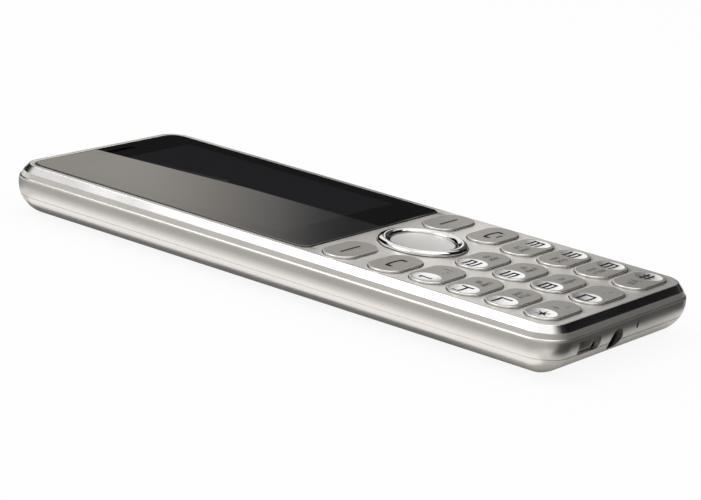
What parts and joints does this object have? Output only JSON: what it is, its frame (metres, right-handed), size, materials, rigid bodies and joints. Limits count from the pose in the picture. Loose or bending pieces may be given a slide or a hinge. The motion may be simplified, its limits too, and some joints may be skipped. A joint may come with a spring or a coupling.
{
  "type": "feature phone",
  "caption": "Slim bar phone with a black display window, a round navigation ring and capsule keys in a silver housing with a rounded removable back.",
  "frame": {"origin": "middle of the flat back, on the surface the phone lies on", "axes": "+X to the phone's right, +Y towards the earpiece, +Z out of the front face"},
  "size_m": [0.0528, 0.132, 0.0114],
  "materials": {
    "silver_housing": "satin silver paint",
    "key_silver": "satin silver with polished edges",
    "ring_chrome": "polished",
    "satin_metal": "satin",
    "lens_black": "polished black window",
    "display_panel": "dark display, switched off",
    "foam_black": "matt foam and rubber",
    "silicone": "translucent silicone",
    "clear_film": "clear film",
    "steel": "stamped",
    "contact_brass": "plated",
    "black_plastic": "moulded",
    "board_green": "solder mask",
    "battery_can": "wrapped can",
    "clear_window": "polished",
    "led_yellow": "phosphor"
  },
  "bodies": {
    "phone_body": {"front_housing": "silver_housing", "rear_chassis": "silver_housing", "display_lens": "lens_black", "lcd_module": "display_panel", "lens_tape": "foam_black", "lcd_gasket": "foam_black", "mic_boot": "foam_black", "key_mat": "silicone", "usb_socket": "steel", "shield_can": "steel", "sim_holder_left": "steel", "sim_holder_right": "steel", "card_holder": "steel", "housing_screws": "steel", "vibration_motor": "steel", "microphone": "steel", "dome_sheet": "steel", "earpiece_mesh": "steel", "jack_contacts": "contact_brass", "antenna": "contact_brass", "usb_tongue": "black_plastic", "audio_jack": "black_plastic", "battery_contacts": "black_plastic", "loudspeaker": "black_plastic", "camera_module": "black_plastic", "earpiece": "black_plastic", "main_board": "board_green", "battery": "battery_can", "flash_led": "led_yellow"},
    "key_soft_left": {"key_soft_left": "key_silver"},
    "key_soft_right": {"key_soft_right": "key_silver"},
    "key_call": {"key_call": "key_silver"},
    "key_end": {"key_end": "key_silver"},
    "key_1": {"key_1": "key_silver"},
    "key_2": {"key_2": "key_silver"},
    "key_3": {"key_3": "key_silver"},
    "key_4": {"key_4": "key_silver"},
    "key_5": {"key_5": "key_silver"},
    "key_6": {"key_6": "key_silver"},
    "key_7": {"key_7": "key_silver"},
    "key_8": {"key_8": "key_silver"},
    "key_9": {"key_9": "key_silver"},
    "key_star": {"key_star": "key_silver"},
    "key_0": {"key_0": "key_silver"},
    "key_hash": {"key_hash": "key_silver"},
    "nav_film": {"nav_film": "clear_film"},
    "nav_ring": {"nav_ring": "ring_chrome"},
    "select_key": {"select_key": "satin_metal"},
    "battery_cover": {"battery_cover": "silver_housing", "camera_window": "clear_window", "flash_window": "clear_window", "speaker_mesh": "steel"}
  },
  "joints": [
    {"name": "key_soft_left_press", "type": "slide", "parent": "phone_body", "child": "key_soft_left", "axis": [0, 0, -1], "range_m": [0, 0.0003], "stiffness_N_per_m": 150},
    {"name": "key_soft_right_press", "type": "slide", "parent": "phone_body", "child": "key_soft_right", "axis": [0, 0, -1], "range_m": [0, 0.0003], "stiffness_N_per_m": 150},
    {"name": "key_call_press", "type": "slide", "parent": "phone_body", "child": "key_call", "axis": [0, 0, -1], "range_m": [0, 0.0003], "stiffness_N_per_m": 150},
    {"name": "key_end_press", "type": "slide", "parent": "phone_body", "child": "key_end", "axis": [0, 0, -1], "range_m": [0, 0.0003], "stiffness_N_per_m": 150},
    {"name": "key_1_press", "type": "slide", "parent": "phone_body", "child": "key_1", "axis": [0, 0, -1], "range_m": [0, 0.0003], "stiffness_N_per_m": 150},
    {"name": "key_2_press", "type": "slide", "parent": "phone_body", "child": "key_2", "axis": [0, 0, -1], "range_m": [0, 0.0003], "stiffness_N_per_m": 150},
    {"name": "key_3_press", "type": "slide", "parent": "phone_body", "child": "key_3", "axis": [0, 0, -1], "range_m": [0, 0.0003], "stiffness_N_per_m": 150},
    {"name": "key_4_press", "type": "slide", "parent": "phone_body", "child": "key_4", "axis": [0, 0, -1], "range_m": [0, 0.0003], "stiffness_N_per_m": 150},
    {"name": "key_5_press", "type": "slide", "parent": "phone_body", "child": "key_5", "axis": [0, 0, -1], "range_m": [0, 0.0003], "stiffness_N_per_m": 150},
    {"name": "key_6_press", "type": "slide", "parent": "phone_body", "child": "key_6", "axis": [0, 0, -1], "range_m": [0, 0.0003], "stiffness_N_per_m": 150},
    {"name": "key_7_press", "type": "slide", "parent": "phone_body", "child": "key_7", "axis": [0, 0, -1], "range_m": [0, 0.0003], "stiffness_N_per_m": 150},
    {"name": "key_8_press", "type": "slide", "parent": "phone_body", "child": "key_8", "axis": [0, 0, -1], "range_m": [0, 0.0003], "stiffness_N_per_m": 150},
    {"name": "key_9_press", "type": "slide", "parent": "phone_body", "child": "key_9", "axis": [0, 0, -1], "range_m": [0, 0.0003], "stiffness_N_per_m": 150},
    {"name": "key_star_press", "type": "slide", "parent": "phone_body", "child": "key_star", "axis": [0, 0, -1], "range_m": [0, 0.0003], "stiffness_N_per_m": 150},
    {"name": "key_0_press", "type": "slide", "parent": "phone_body", "child": "key_0", "axis": [0, 0, -1], "range_m": [0, 0.0003], "stiffness_N_per_m": 150},
    {"name": "key_hash_press", "type": "slide", "parent": "phone_body", "child": "key_hash", "axis": [0, 0, -1], "range_m": [0, 0.0003], "stiffness_N_per_m": 150},
    {"name": "select_press", "type": "slide", "parent": "phone_body", "child": "select_key", "axis": [0, 0, -1], "range_m": [0, 0.0003], "stiffness_N_per_m": 150},
    {"name": "nav_left_right", "type": "hinge", "parent": "phone_body", "child": "nav_film", "pos_m": [0, -0.019, 0.0089], "axis": [0, 1, 0], "range_deg": [-1.25, 1.25], "stiffness_Nm_per_rad": 0.004},
    {"name": "nav_up_down", "type": "hinge", "parent": "nav_film", "child": "nav_ring", "pos_m": [0, -0.019, 0.0089], "axis": [1, 0, 0], "range_deg": [-1.25, 1.25], "stiffness_Nm_per_rad": 0.004},
    {"name": "cover_lift", "type": "slide", "parent": "phone_body", "child": "battery_cover", "axis": [0, 0, -1], "range_m": [0, 0.012]}
  ]
}
